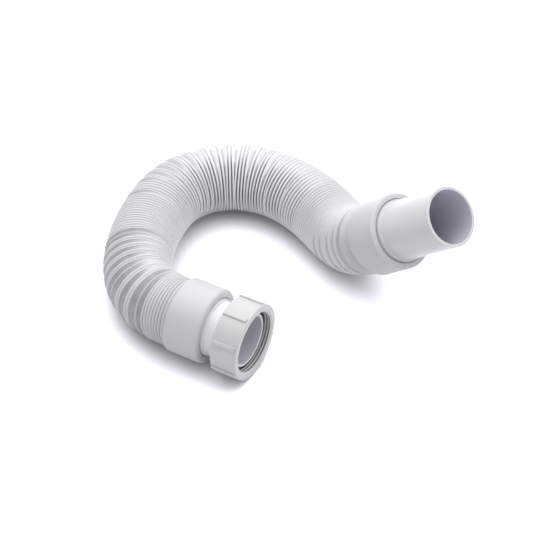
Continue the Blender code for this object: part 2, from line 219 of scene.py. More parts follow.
# Floor, in metres: its half width, and the reach and the range of the darker contact shadow. The
# camera sees the paper in this colour, which is brighter than the one that lights the hose
FLOOR_HALF = 4.0
CONTACT_REACH = 0.028
CONTACT_FULL = 0.75
SEEN_PAPER = (1.60, 1.575, 1.655, 1.0)

# Light: the world's colour and strength, then of each lamp its share of the power, and its width
# and place in metres
WORLD_COLOUR = (0.965, 0.955, 1.0, 1.0)
WORLD_STRENGTH = 0.58
SOFTBOXES = (
    ("softbox_above", 1.0, 2.6, (-0.32, 0.52, 1.38)),
    ("softbox_side", 0.12, 1.6, (1.50, -0.10, 0.85)),
)


# Meshes

def ring_grid(points, name, attributes=None):
    """Mesh of a grid of rings, closed along both directions.

    points is (rings, corners, 3) in millimetres. Face (i, j) joins corner j and j + 1 of ring i
    and ring i + 1, and both counts wrap round, so that the skin is one closed tube wall.
    """
    rings, corners = points.shape[:2]
    number = np.arange(rings * corners).reshape(rings, corners)
    after = np.roll(number, -1, axis=0)
    quads = np.stack((number, after, np.roll(after, -1, axis=1), np.roll(number, -1, axis=1)), -1)
    quads = quads.reshape(-1, 4)
    mesh = bpy.data.meshes.new(name)
    mesh.vertices.add(rings * corners)
    mesh.vertices.foreach_set("co", (points * MM).astype(np.float32).ravel())
    mesh.loops.add(quads.size)
    mesh.loops.foreach_set("vertex_index", quads.astype(np.int32).ravel())
    mesh.polygons.add(len(quads))
    mesh.polygons.foreach_set("loop_start", np.arange(0, quads.size, 4, dtype=np.int32))
    mesh.update(calc_edges=True)
    mesh.validate()
    for key, values in (attributes or {}).items():
        layer = mesh.attributes.new(key, "FLOAT", "POINT")
        layer.data.foreach_set("value", np.asarray(values, np.float32).ravel())
    mesh.shade_smooth()
    return mesh


def rounded(corners, steps):
    """Profile with its corners rounded.

    corners is a closed list of (along, radius, rounding). Each corner is replaced by an arc that
    touches both sides: the arc starts at rounding / tan(half the corner's angle) from the corner,
    and a support point lies just before and after it, so that the flat sides stay flat.
    """
    points = []
    for i, (x, r, q) in enumerate(corners):
        here = np.array((x, r), float)
        before = np.array(corners[i - 1][:2], float) - here
        after = np.array(corners[(i + 1) % len(corners)][:2], float) - here
        if q <= 0.0:
            points.append(here)
            continue
        a = before / np.linalg.norm(before)
        b = after / np.linalg.norm(after)
        half = math.acos(np.clip(a @ b, -1.0, 1.0)) / 2
        reach = min(
            q / math.tan(half), SIDE_SHARE * np.linalg.norm(before),
            SIDE_SHARE * np.linalg.norm(after))
        q = reach * math.tan(half)
        middle = here + (a + b) / np.linalg.norm(a + b) * q / math.sin(half)
        first = here + a * reach - middle
        last = here + b * reach - middle
        turn = math.acos(np.clip(first @ last / q ** 2, -1.0, 1.0))
        share = np.linspace(0.0, 1.0, steps + 1)[:, None]
        arc = (np.sin((1 - share) * turn) * first + np.sin(share * turn) * last) / math.sin(turn)
        points.append(here + a * (reach + SUPPORT))
        points.extend(middle + arc)
        points.append(here + b * (reach + SUPPORT))
    return np.array(points)


def filled(profile, spacing):
    """The profile with extra points, so that no two neighbours are further apart than spacing."""
    result = []
    for here, following in zip(profile, np.roll(profile, -1, axis=0)):
        count = max(1, math.ceil(np.linalg.norm(following - here) / spacing))
        share = np.arange(count)[:, None] / count
        result.append(here + share * (following - here))
    return np.concatenate(result)


def turned(profile, angles, change=None):
    """Surface of revolution about X: point (x, -r sin a, r cos a) for each profile point and angle.

    change(x, r, a) gives what is added to the radius, over the whole grid.
    """
    x = np.broadcast_to(profile[:, :1], (len(profile), len(angles)))
    r = np.broadcast_to(profile[:, 1:], x.shape)
    a = np.broadcast_to(angles, x.shape)
    if change is not None:
        r = r + change(x, r, a)
    return np.stack((x, -r * np.sin(a), r * np.cos(a)), axis=-1)


def bore_share(profile, angles):
    """1 on the rings of the profile's least radius, its bore, and 0 elsewhere."""
    bore = profile[:, 1:] < profile[:, 1].min() + 0.05
    return np.broadcast_to(bore.astype(float), (len(profile), len(angles)))


def even_angles(count):
    """Angles round a circle: each number below count, times a full turn, over count."""
    return np.arange(count) * math.tau / count


def ramp(value, start, width):
    """0 up to start, 1 from start + width on, 3 v^2 - 2 v^3 between, v the share of the width."""
    v = np.clip((value - start) / width, 0.0, 1.0)
    return v * v * (3 - 2 * v)


def at_least(least, share):
    """A factor that goes from least to 1 as the share goes from 0 to 1."""
    return least + (1 - least) * share


def show(mesh, material, body):
    """Object of a mesh, riding on its body."""
    piece = bpy.data.objects.new(mesh.name, mesh)
    bpy.context.scene.collection.objects.link(piece)
    mesh.materials.append(material)
    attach(piece, body)
    return piece


def placed(points, matrix):
    """Points of a grid moved by a 4 x 4 matrix, in millimetres."""
    matrix = np.array(matrix)
    return points @ matrix[:3, :3].T + matrix[:3, 3]


# Route

def smooth_route(points, start_direction, end_direction):
    """Cubic spline through plan points, parametrised by chord length, with both end directions.

    The slopes m solve m0 / h0 + 2 m1 (1 / h0 + 1 / h1) + m2 / h1 = 3 (d0 / h0 + d1 / h1), where h
    is a chord's length and d its direction, so the second derivative is continuous.
    """
    points = np.asarray(points, float)
    count = len(points)
    chord = np.linalg.norm(np.diff(points, axis=0), axis=1)
    secant = np.diff(points, axis=0) / chord[:, None]
    matrix = np.zeros((count, count))
    right = np.zeros(points.shape)
    matrix[0, 0] = matrix[-1, -1] = 1.0
    right[0] = start_direction
    right[-1] = end_direction
    for i in range(1, count - 1):
        matrix[i, i - 1:i + 2] = 1 / chord[i - 1], 2 / chord[i - 1] + 2 / chord[i], 1 / chord[i]
        right[i] = 3.0 * (secant[i - 1] / chord[i - 1] + secant[i] / chord[i])
    slope = np.linalg.solve(matrix, right)
    start = np.r_[0.0, np.cumsum(chord)]
    wanted = np.linspace(0.0, start[-1], ROUTE_SAMPLES)
    k = np.clip(np.searchsorted(start, wanted, side="right") - 1, 0, count - 2)
    u = ((wanted - start[k]) / chord[k])[:, None]
    h = chord[k][:, None]
    return (points[k] * (1 + 2 * u) * (1 - u) ** 2 + slope[k] * h * u * (1 - u) ** 2
            + points[k + 1] * u ** 2 * (3 - 2 * u) + slope[k + 1] * h * u ** 2 * (u - 1))


def distances(line):
    """Distance along a line of points, at each point."""
    return np.r_[0.0, np.cumsum(np.linalg.norm(np.diff(line, axis=0), axis=1))]


class HoseLine:
    """The hose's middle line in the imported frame, straight through both cuffs.

    Its height comes down from the union's to the crest radius in a smooth step of LANDING_LENGTH.
    Over the last LIFT_LENGTH its slope grows as 3 u^2 - 2 u^3 to the outlet's slope, so the height
    gains slope times LIFT_LENGTH times u^3 - u^4 / 2.
    """

    def __init__(self, crest_radius):
        yaw = math.radians(OUTLET_YAW)
        pitch = math.radians(OUTLET_PITCH)
        first = (-NUT["length"] - TAIL["shown"] - CUFF["length"], 0.0)
        plan = smooth_route([first, *ROUTE], (-1.0, 0.0), (math.cos(yaw), math.sin(yaw)))
        ground = distances(plan)
        sink = ramp(ground, 0.0, LANDING_LENGTH)
        lift = np.clip((ground - ground[-1]) / LIFT_LENGTH + 1.0, 0.0, 1.0)
        height = (MOUTH[2] + (crest_radius - MOUTH[2]) * sink
                  + math.tan(pitch) * LIFT_LENGTH * (lift ** 3 - lift ** 4 / 2))
        self.line = np.column_stack((plan + MOUTH[:2], height))
        self.distance = distances(self.line)
        self.length = self.distance[-1]
        self.start = np.array((-1.0, 0.0, 0.0))
        self.end = np.array((
            math.cos(pitch) * math.cos(yaw), math.cos(pitch) * math.sin(yaw), math.sin(pitch)))
        slope = np.gradient(self.line, self.distance, axis=0)
        slope[0], slope[-1] = self.start, self.end
        self.slope = slope / np.linalg.norm(slope, axis=1)[:, None]

    def points(self, s):
        """Centres at distances from the first fold; past the folds the line runs straight on."""
        s = np.asarray(s, float)
        inside = np.clip(s, 0.0, self.length)
        line = np.stack([np.interp(inside, self.distance, self.line[:, k]) for k in range(3)], -1)
        return (line + np.minimum(s, 0.0)[..., None] * self.start
                + np.maximum(s - self.length, 0.0)[..., None] * self.end)

    def directions(self, s):
        """Unit tangents at distances from the first fold."""
        slope = np.stack([np.interp(s, self.distance, self.slope[:, k]) for k in range(3)], -1)
        return slope / np.linalg.norm(slope, axis=-1)[..., None]

    def rings(self, s, aim, radius, angles):
        """Grid of rings: centre(s) + radius (cos a up + sin a across), square to direction(aim)."""
        along = self.directions(aim)
        across = np.cross(along, (0.0, 0.0, 1.0))
        across /= np.linalg.norm(across, axis=1)[:, None]
        upward = np.cross(across, along)
        spoke = (np.cos(angles)[None, :, None] * upward[:, None]
                 + np.sin(angles)[None, :, None] * across[:, None])
        return self.points(s)[:, None] + radius[..., None] * spoke


def fold_places(length):
    """Crests, roots, the distance whose direction each crest takes, and of each valley its
    group's depth and whether it is the open one.

    The groups' spacings are stretched together to fill the length. The folds of a short group
    stay nearly parallel, because a bend is taken by the open valleys: their aim is drawn towards
    the middle of the group.
    """
    steps = [FOLD_END_GAP]
    depths = [FOLD_GROUPS[0][4]]
    is_open = [0.0]
    group = []
    fanning = []
    for groups, folds, pitch, valley, depth in FOLD_GROUPS:
        short = DEEP_FANNING if depth > DEEP_VALLEY else FLAT_FANNING
        for _ in range(groups):
            steps += [pitch] * (folds - 1) + [valley]
            depths += [depth] * folds
            is_open += [0.0] * (folds - 1) + [1.0]
            group.append(folds)
            fanning.append(1.0 if folds > LONG_GROUP else short)
    steps[-1] = FOLD_END_GAP
    is_open[-1] = 0.0
    marks = np.cumsum(steps) * length / np.sum(steps)
    crests = marks[:-1]
    roots = np.r_[0.0, (crests[:-1] + crests[1:]) / 2, length]
    last = np.cumsum(group) - 1
    first = last - np.array(group) + 1
    middle = np.repeat((crests[first] + crests[last]) / 2, group)
    aims = middle + (crests - middle) * np.repeat(fanning, group)
    return crests, roots, aims, np.array(depths), np.array(is_open)


# Materials

class Value:
    """A shader socket whose sums and products are written as Python expressions."""

    def __init__(self, tree, socket):
        self.tree = tree
        self.socket = socket

    def maths(self, operation, *inputs):
        node = self.tree.nodes.new("ShaderNodeMath")
        node.operation = operation
        for socket, value in zip(node.inputs, inputs):
            if isinstance(value, Value):
                self.tree.links.new(value.socket, socket)
            else:
                socket.default_value = value
        return Value(self.tree, node.outputs[0])

    def __add__(self, other):
        return self.maths("ADD", self, other)

    __radd__ = __add__

    def __sub__(self, other):
        return self.maths("SUBTRACT", self, other)

    def __rsub__(self, other):
        return self.maths("SUBTRACT", other, self)

    def __mul__(self, other):
        return self.maths("MULTIPLY", self, other)

    __rmul__ = __mul__

    def clamped(self):
        return self.maths("MINIMUM", self.maths("MAXIMUM", self, 0.0), 1.0)

    def above(self, low, high):
        """0 below low, 1 above high, a straight line between."""
        return ((self - low) * (1.0 / (high - low))).clamped()


class Finish:
    """A material whose nodes come from one method."""

    def __init__(self, name):
        self.material = bpy.data.materials.new(name)
        self.material.use_nodes = True
        self.tree = self.material.node_tree
        self.shader = self.tree.nodes["Principled BSDF"]

    def node(self, kind, settings=None, values=None, output=0):
        """New node: its settings are set first, then the values or links of its sockets."""
        node = self.tree.nodes.new(kind)
        for key, value in (settings or {}).items():
            setattr(node, key, value)
        for key, value in (values or {}).items():
            self.join(node.inputs[key], value)
        return Value(self.tree, node.outputs[output])

    def join(self, socket, value):
        if isinstance(value, Value):
            self.tree.links.new(value.socket, socket)
        else:
            socket.default_value = value

    def set(self, **values):
        """Values or links of the main shader's sockets."""
        for key, value in values.items():
            self.join(self.shader.inputs[key.replace("_", " ")], value)

    def attribute(self, name):
        return self.node("ShaderNodeAttribute", {"attribute_name": name}, output="Fac")

    def noise(self, scale, detail, roughness=0.55, stretch=None):
        """Noise of a size given by its scale, per metre, stretched along an axis if asked."""
        where = self.node("ShaderNodeTexCoord", output="Object")
        if stretch is not None:
            where = self.node("ShaderNodeMapping", None, {"Vector": where, "Scale": stretch})
        return self.node("ShaderNodeTexNoise", {"noise_dimensions": "3D"}, {
            "Vector": where, "Scale": scale, "Detail": detail, "Roughness": roughness})

    def blend(self, share, first, second):
        """Colour between two colours: a Mix node's colour sockets are its inputs 6 and 7."""
        return self.node("ShaderNodeMix", {"data_type": "RGBA"}, {0: share, 6: first, 7: second}, 2)

    def bump(self, height, distance, normal=None):
        """Normal of a height, on top of another normal if given."""
        values = {"Height": height, "Distance": distance}
        if normal is not None:
            values["Normal"] = normal
        return self.node("ShaderNodeBump", None, values)


def rgb(colour, gain=1.0):
    """The colour as a socket takes it, lighter or darker by a gain."""
    return (*(min(1.0, c * gain) for c in colour), 1.0)


def moulded_plastic(name, colour, roughness, grain, inside=None, waviness=0.00012):
    """White polypropylene: cloudy tone, a fine grain, flow marks and a few handling scuffs.

    inside is the colour of painted shade where the mesh's inside attribute is 1, down in a bore or
    a groove. Gives the finish and the tone that feeds its Base Color.
    """
    finish = Finish(name)
    cloud = finish.noise(28.0, 2.0)
    flow = finish.noise(60.0, 4.0, 0.6, (0.25, 1.0, 1.0))
    fine = finish.noise(2600.0, 2.0)
    scuff = finish.noise(420.0, 5.0, 0.7, (1.0, 0.12, 0.12)).above(0.64, 0.74)
    tone = finish.blend(cloud.above(0.3, 0.7), rgb(colour, 0.972), rgb(colour, 1.012))
    tone = finish.blend(scuff * 0.30, tone, rgb(colour, 0.90))
    # Painted shade: the inside colour in a bore or a groove
    if inside is not None:
        tone = finish.blend(finish.attribute("inside"), tone, rgb(inside))
    surface = finish.bump(flow, waviness)
    surface = finish.bump(fine, grain, surface)
    finish.set(
        Base_Color=tone, Roughness=(flow - 0.5) * 0.14 + roughness + scuff * 0.14,
        Normal=surface, IOR=POLYPROPYLENE_IOR)
    return finish, tone


def hose_plastic(sizes):
    """Blown bellows wall: moulded plastic, painted light where it is thin, painted shade in its
    valleys.
    """
    finish, tone = moulded_plastic(
        "hose_plastic", sizes.hose_colour, sizes.hose_roughness, 0.000015)
    # Random mottle that varies the painted shade in the valleys
    dust_and_shade_mottle = finish.noise(180.0, 4.0).above(0.35, 0.75)
    # Painted light: towards the paler fold colour where the thin wall passes light
    tone = finish.blend(finish.attribute("thin"), tone, rgb(sizes.fold_glow_colour))
    # Painted shade: the valley attribute greys the colour towards a dark copy of the hose colour
    painted_valley_shade = (finish.attribute("valley") * (dust_and_shade_mottle * 0.12 + 0.6)).clamped()
    finish.set(Base_Color=finish.blend(painted_valley_shade, tone, rgb(sizes.hose_colour, 0.30)))
    return finish.material


def seal_rubber():
    """Matt black rubber with a bloom of pale dust and a pitted skin."""
    finish = Finish("seal_rubber")
    pits = finish.noise(1500.0, 4.0, 0.6)
    dust_and_shade_mottle = finish.noise(700.0, 5.0, 0.75).above(0.56, 0.72)
    finish.set(
        Base_Color=finish.blend(dust_and_shade_mottle, rgb((0.012, 0.012, 0.013)), rgb((0.075, 0.074, 0.078))),
        Roughness=dust_and_shade_mottle * 0.2 + 0.62, Normal=finish.bump(pits, 0.00008))
    return finish.material


# Sizes and colours that a user would change

class HoseSettings(bpy.types.PropertyGroup):
    """Sizes and colours of the bellows hose."""

    crest_radius: FloatProperty(
        name="Crest radius", description="Radius over the crests of the folds",
        default=25.5 * MM, min=0.01, unit="LENGTH")
    closed_depth: FloatProperty(
        name="Closed depth", description="Least depth of the groove between two closed folds",
        default=0.6 * MM, min=0.0, unit="LENGTH")
    cuff_radius: FloatProperty(
        name="Cuff radius", description="Outer radius of the smooth cuffs",
        default=27.5 * MM, min=0.01, unit="LENGTH")
    sides: IntProperty(
        name="Sides", description="Corners round each ring of the hose", default=72, min=24)
    hose_colour: FloatVectorProperty(
        name="Hose colour", description="Colour of the blown plastic", subtype="COLOR",
        default=(0.65, 0.645, 0.65), min=0.0, max=1.0)
    # Colour painted on the folds as the light that passes their thin wall
    fold_glow_colour: FloatVectorProperty(
        name="Fold colour", description="Colour of the thin wall of the folds, which light passes",
        subtype="COLOR", default=(0.885, 0.88, 0.885), min=0.0, max=1.0)
    hose_roughness: FloatProperty(
        name="Hose roughness", description="How matt the blown plastic is", subtype="FACTOR",
        default=0.45, min=0.0, max=1.0)


class UnionSettings(bpy.types.PropertyGroup):
    """Sizes and colours of the union nut and its tailpiece."""

    nut_radius: FloatProperty(
        name="Nut radius", description="Radius of the nut's barrel between its ribs",
        default=28.3 * MM, min=0.01, unit="LENGTH")
    nut_colour: FloatVectorProperty(
        name="Nut colour", description="Colour of the nut", subtype="COLOR",
        default=(0.65, 0.65, 0.645), min=0.0, max=1.0)
    tail_colour: FloatVectorProperty(
        name="Tailpiece colour", description="Colour of the tailpiece", subtype="COLOR",
        default=(0.90, 0.90, 0.905), min=0.0, max=1.0)
    union_roughness: FloatProperty(
        name="Union roughness", description="How matt the nut and tailpiece are",
        subtype="FACTOR", default=0.36, min=0.0, max=1.0)


class OutletSettings(bpy.types.PropertyGroup):
    """Size and colour of the plain spigot."""

    spigot_radius: FloatProperty(
        name="Spigot radius", description="Outer radius of the plain pipe end",
        default=21.5 * MM, min=0.01, unit="LENGTH")
    spigot_colour: FloatVectorProperty(
        name="Spigot colour", description="Colour of the spigot", subtype="COLOR",
        default=(0.73, 0.728, 0.732), min=0.0, max=1.0)
    spigot_roughness: FloatProperty(
        name="Spigot roughness", description="How matt the spigot is", subtype="FACTOR",
        default=0.34, min=0.0, max=1.0)


class StageSettings(bpy.types.PropertyGroup):
    """Floor and light."""

    lamp_power: FloatProperty(
        name="Lamp power", description="Power of the large soft lamp above", unit="POWER",
        default=31.5, min=0.0)
    floor_colour: FloatVectorProperty(
        name="Floor colour", description="Colour of the floor, as it lights the hose",
        subtype="COLOR", default=(0.60, 0.60, 0.61), min=0.0, max=1.0)


# Hose

def cuff_profile(cuff_radius, collar_radius, shank_radius):
    """Half profile of a cuff, (depth from the mouth, radius), with its corners rounded.

    It runs from the fold side over the outside and the mouth to the end of the welding bore.
    """
    recess = collar_radius + CUFF["gap"]
    bore = shank_radius + FIT_GAP + CUFF["seat_ease"]
    back = CUFF["length"] - CUFF["fold_gap"]
    return rounded([
        (back, cuff_radius - CUFF["back_step"], 0.0),
        (back - CUFF["back_lean"], cuff_radius, CUFF["back"]),
        (0.0, cuff_radius, CUFF["shoulder"]),
        (0.0, recess, CUFF["mouth_edge"]),
        (CUFF["recess"], recess, CUFF["inner_edge"]),
        (CUFF["recess"], bore, CUFF["inner_edge"]),
        (SEAT_DEPTH + FIT_GAP, bore, 0.0),
    ], steps=8)


def fold_rings(crests, roots):
    """Distances of the folds' rings, and for each of them its nearest crest and its valley.

    A fold has its root, then as many rings before its crest and after it as RING_STEPS has steps.
    """
    count = len(crests)
    before = np.minimum(RING_STEPS, (crests - roots[:-1])[:, None] * RING_SHARES)[:, ::-1]
    after = np.minimum(RING_STEPS, (roots[1:] - crests)[:, None] * RING_SHARES)
    s = np.hstack((roots[:-1, None], crests[:, None] - before, crests[:, None] + after))
    nearest = np.repeat(np.arange(count), s.shape[1])
    past_crest = np.arange(s.shape[1]) > len(RING_STEPS)
    valley = (np.arange(count)[:, None] + past_crest).ravel()
    return np.r_[s.ravel(), roots[-1]], np.r_[nearest, count - 1], np.r_[valley, count]


def fold_fall(gap, share, lip, openness, depth, closed_depth):
    """How far each point of the folds lies below its crest.

    u is the share of the way from the crest to the valley's middle, and lip is
    exp(-(distance / FOLD lip)^2). A closed valley falls by closed u^2, where closed is most of the
    gap, up to a limit that grows with the group's depth. An open valley that is pulled flat falls
    by depth (1 - lip) to a flat floor, and a deep one by depth u^slant, a V.
    """
    limit = np.minimum(FOLD["closed_rise"] * depth, FOLD["closed_limit"]) + closed_depth
    closed = np.minimum(gap * FOLD["closed_share"], limit) * share ** 2.0
    flat = depth * (1 - lip)
    deep = depth * share ** FOLD["slant"]
    opened = flat + (deep - flat) * ramp(depth, *SLANTS)
    return closed + (np.maximum(opened, 0.0) - closed) * openness


def fold_painted_shade(gap, share, lip, openness, tight, angles, raised):
    """Painted shade of each point of the folds: the sum of four marks, each a product of smooth
    steps.

    Between shallow folds these are the floor of a valley that is pulled flat, which is paler on
    the raised end, and the bottom of a closed groove. Between tight, deep folds they are the
    bottom of an open V and that of a closed groove, which fade under the hose and away from the
    inner side of the bend, where sin a is 1.
    """
    inner = np.sin(angles)
    step = PAINTED_SHADE_STEPS
    flat = PAINTED_SHADE["flat"] * (1 - lip) * openness * ramp(gap, *step["flat_gap"]) * (1 - tight)
    flat = flat * (1 - PAINTED_SHADE["raised"] * raised)
    closed = ramp(share, *step["closed_share"]) * (1 - openness)
    shallow = PAINTED_SHADE["shallow"] * closed * ramp(gap, *step["shallow_gap"]) * (1 - tight)
    notch = PAINTED_SHADE["notch"] * ramp(share, *step["notch_share"]) * openness * tight
    notch = notch * at_least(0.75, ramp(inner, *step["notch_inner"]))
    groove = PAINTED_SHADE["groove"] * closed * ramp(gap, *step["groove_gap"]) * tight
    groove = groove * at_least(0.2, ramp(inner, *step["groove_inner"]))
    above_floor = at_least(0.35, ramp(np.cos(angles), *step["above_floor"]))
    return flat + shallow + (notch + groove) * above_floor


def fold_painted_glow(s, length, tight, angles):
    """How much light passes the wall of the folds: the least share, more in tight, deep folds and
    on the inner side of the bend below the top, and none at the cuffs."""
    # Painted light: a share of the fold colour that stands for light through the wall
    inner = np.sin(angles)
    step = PAINTED_GLOW_STEPS
    deep = PAINTED_GLOW["deep"] * tight * at_least(0.45, ramp(inner, *step["deep_inner"]))
    low = ramp(-np.cos(angles), *step["glow_low"])
    glow = PAINTED_GLOW["glow"] * low * ramp(inner, *step["glow_inner"])
    from_cuff = ramp(np.minimum(s, length - s), 0.0, PAINTED_GLOW["fade"])[:, None]
    return np.clip(PAINTED_GLOW["least"] + deep + glow, 0.0, 1.0) * from_cuff


def make_hose(sizes):
    """The whole blown hose, one closed skin.

    Its rings run over the first cuff, the folds and the second cuff, and back through the bore. A
    ring's radius is the crest radius less the fold's fall, which follows from the gap between the
    neighbouring crests at each angle: a bend opens it on one side and closes it on the other. The
    bore lies a wall's thickness below the crests and the roots.
    """
    crest_r = sizes.crest_radius / MM
    cuff_r = sizes.cuff_radius / MM
    line = HoseLine(crest_r)
    crests, roots, aims, depths, is_open = fold_places(line.length)
    angles = even_angles(sizes.sides)
    count = len(crests)
    s, nearest, valley = fold_rings(crests, roots)
    knots = np.r_[0.0, crests, line.length]
    knot_aims = np.r_[0.0, aims, line.length]

    # Gap between neighbouring crests at each angle, and straight, the same gap on the middle line
    crest_rings = line.rings(crests, aims, np.full((count, len(angles)), crest_r), angles)
    end_gap = 2 * FOLD_END_GAP
    ends = np.full((1, len(angles)), end_gap)
    gap = np.concatenate((ends, np.linalg.norm(np.diff(crest_rings, axis=0), axis=2), ends))[valley]
    straight = np.r_[end_gap, np.diff(crests), end_gap][valley][:, None]
    away = np.abs(s - crests[nearest])[:, None] * gap / straight
    share = np.clip(2 * away / gap, 0.0, 1.0)
    lip = np.exp(-(away / FOLD["lip"]) ** 2)
    depth = depths[valley][:, None]
    openness = ramp(gap, *OPENS) * is_open[valley][:, None]
    tight = ramp(depth, *TIGHTENS)

    # Radius of the folds
    draws = np.random.default_rng(UNEVEN_SEED).normal(0.0, FOLD["uneven"], count)
    uneven = np.clip(draws, -FOLD["uneven_limit"], FOLD["uneven_limit"])[nearest][:, None]
    fall = fold_fall(gap, share, lip, openness, depth, sizes.closed_depth / MM)
    radius = crest_r - FOLD["inset"] + uneven * (1 - share) - fall

    # Both cuffs and the bore
    first = cuff_profile(cuff_r, TAIL["collar"], TAIL["neck"])
    last = cuff_profile(cuff_r, SPIGOT["collar"], SPIGOT["radius"])
    bore_s = np.empty(2 * count + 1)
    bore_s[0::2], bore_s[1::2] = roots, crests
    bore_r = np.empty(2 * count + 1)
    bore_r[0::2] = crest_r - np.maximum(depths, FOLD["bore_depth"]) - FOLD["wall"]
    bore_r[1::2] = crest_r - FOLD["wall"] - FOLD["inset"]

    # The whole skin
    all_s = np.r_[
        first[::-1, 0] - CUFF["length"], s, line.length + CUFF["length"] - last[:, 0],
        bore_s[::-1]]
    all_aim = np.interp(all_s, knots, knot_aims)
    rings = [first[::-1, 1:], radius, last[:, 1:], bore_r[::-1, None]]
    all_r = np.concatenate([np.broadcast_to(r, (len(r), len(angles))) for r in rings])
    points = line.rings(all_s, all_aim, all_r, angles)
    # Painted shade of the valleys and painted light of the thin wall, kept as the mesh's attributes
    painted_shade = np.zeros(all_r.shape)
    thin = np.zeros(all_r.shape)
    folds = slice(len(first), len(first) + len(s))
    # Less painted shade towards the raised end
    raised = ramp(s, RAISED_FROM * line.length, RAISED_STEP)[:, None]
    painted_shade[folds] = fold_painted_shade(gap, share, lip, openness, tight, angles, raised)
    thin[folds] = fold_painted_glow(s, line.length, tight, angles)
    mesh = ring_grid(points, "bellows_hose", {"valley": painted_shade, "thin": thin})
    piece = show(mesh, hose_plastic(sizes), "hose_body")
    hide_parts("hose")


def state_cord(line):
    """Points along the hose's route from the union's cuff to the end of the outlet's, left unused.
    """
    marks = np.linspace(-CUFF["length"], line.length + CUFF["length"], CORD_MARKS)
    path = line.points(marks) * MM


# Union

def at_union(points):
    """Points of a grid moved from the union's mouth to its place."""
    return placed(points, Matrix.Translation(Vector(MOUTH)))


def make_tailpiece(sizes):
    """Flanged tube turned from a rounded profile: nose, flange, neck, collar and shank.

    Behind the nut the neck carries a ring of knurls: radius + height (1 + cos(count angle)) / 2.
    """
    front = -TAIL["set_back"]
    flange_front = front - TAIL["proud"] - SEAL_THICKNESS - FIT_GAP
    flange_back = flange_front - TAIL["flange_thickness"]
    mouth = -NUT["length"] - TAIL["shown"]
    collar_back = mouth - CUFF["recess"] + FIT_GAP
    collar_front = collar_back + TAIL["collar_length"]
    back = mouth - SEAT_DEPTH
    knurl_front = -NUT["length"] - TAIL["knurl_front"]
    knurl_back = knurl_front - TAIL["knurl_length"]
    profile = rounded([
        (front, TAIL["bore"], 0.45),
        (back, TAIL["bore"], 0.3),
        (back, TAIL["neck"], 0.3),
        (collar_back, TAIL["neck"], 0.1),
        (collar_back, TAIL["collar"], 0.15),
        (collar_front, TAIL["collar"], 0.5),
        (collar_front, TAIL["neck"], 0.5),
        (knurl_back - TAIL["knurl_edge"], TAIL["neck"], 0.0),
        (knurl_back, TAIL["neck"], 0.0),
        (knurl_front, TAIL["neck"], 0.0),
        (knurl_front + TAIL["knurl_edge"], TAIL["neck"], 0.0),
        (flange_back, TAIL["neck"], 0.2),
        (flange_back, TAIL["flange"], 0.3),
        (flange_front, TAIL["flange"], 0.3),
        (flange_front, TAIL["nose"], 0.15),
        (front, TAIL["nose"], 0.55),
    ], steps=6)

    def knurls(x, r, a):
        on_ring = (x > knurl_back - 0.01) & (x < knurl_front + 0.01) & (r > TAIL["neck"] - 0.01)
        return on_ring * TAIL["knurl_height"] * (1 + np.cos(TAIL["knurls"] * a)) / 2

    profile = filled(profile, TAIL["spacing"])[::-1]
    angles = even_angles(6 * TAIL["knurls"])
    points = at_union(turned(profile, angles, knurls))
    # Painted shade: the bore takes the lilac grey of shade
    mesh = ring_grid(points, "tailpiece", {"inside": bore_share(profile, angles)})
    finish, _ = moulded_plastic(
        "tailpiece_plastic", sizes.tail_colour, sizes.union_roughness, 0.00003, BORE_SHADE_COLOUR,
        waviness=0.0003)
    piece = show(mesh, finish.material, "hose_body")
    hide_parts("union_tailpiece")


def make_seal():
    """Rubber ring with rounded corners, turned about the union's axis, against the flange."""
    front = -TAIL["set_back"] - TAIL["proud"]
    back = front - SEAL_THICKNESS
    inner = TAIL["nose"] + FIT_GAP
    outer = NUT["thread"] - FIT_GAP
    profile = rounded([
        (front, inner, 0.35), (back, inner, 0.25), (back, outer, 0.25), (front, outer, 0.45)],
        steps=5)
    points = turned(profile[::-1], even_angles(SEAL_CORNERS))
    mesh = ring_grid(at_union(points), "rubber_seal")
    piece = show(mesh, seal_rubber(), "hose_body")
    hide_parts("seal_ring")


def nut_angles():
    """Angles round the nut: close together over each rib and wider between the ribs."""
    step = math.tau / NUT["ribs"]
    edge = RIB_ANGLES[-1]
    between = np.linspace(edge, step - edge, ANGLES_BETWEEN_RIBS + 2)[1:-1]
    one = np.r_[-RIB_ANGLES[::-1], 0.0, RIB_ANGLES, between]
    turn = math.radians(NUT["rib_turn"]) + np.arange(NUT["ribs"])[:, None] * step
    return (turn + one).ravel()


